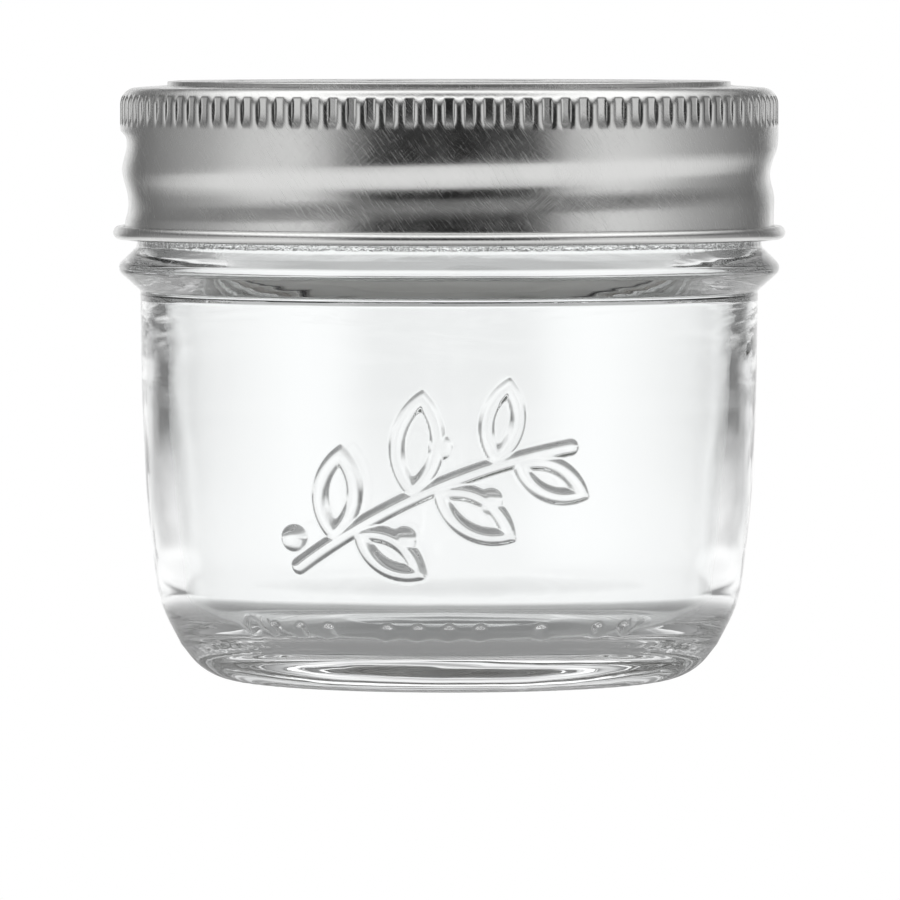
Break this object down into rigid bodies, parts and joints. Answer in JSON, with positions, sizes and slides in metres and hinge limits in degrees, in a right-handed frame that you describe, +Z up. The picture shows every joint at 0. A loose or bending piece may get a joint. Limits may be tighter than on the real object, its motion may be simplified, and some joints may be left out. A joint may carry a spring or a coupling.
{
  "type": "preserving jar",
  "caption": "Wide-mouth glass preserving jar with a flat metal lid, its sealing ring, and a fluted screw band that unscrews and lifts off.",
  "frame": {"origin": "centre of the ring that the jar stands on", "axes": "+Z up along the jar's axis; -Y is the front, with the moulded sprig; +X to the right seen from the front"},
  "size_m": [0.0888, 0.0888, 0.0791],
  "materials": {
    "clear_glass": "clear pressed soda-lime glass",
    "lid_tinplate": "satin tinplate with a fine rolled grain",
    "sealing_compound": "matt moulded plastisol",
    "band_tinplate": "satin tinplate with fine scratches"
  },
  "bodies": {
    "jar": {"glass_jar": "clear_glass"},
    "lid": {"lid_disc": "lid_tinplate", "sealing_ring": "sealing_compound"},
    "band": {"screw_band": "band_tinplate"}
  },
  "joints": [
    {"name": "closure_lift", "type": "slide", "parent": "jar", "child": "lid", "axis": [0, 0, 1], "range_m": [0, 0.032]},
    {"name": "band_turn", "type": "hinge", "parent": "lid", "child": "band", "pos_m": [0, 0, 0.07], "axis": [0, 0, 1], "range_deg": [0, 1440]}
  ],
  "couplings": [
    {"joint": "closure_lift", "follows": "band_turn", "m_per_rad": 0.0012573}
  ]
}
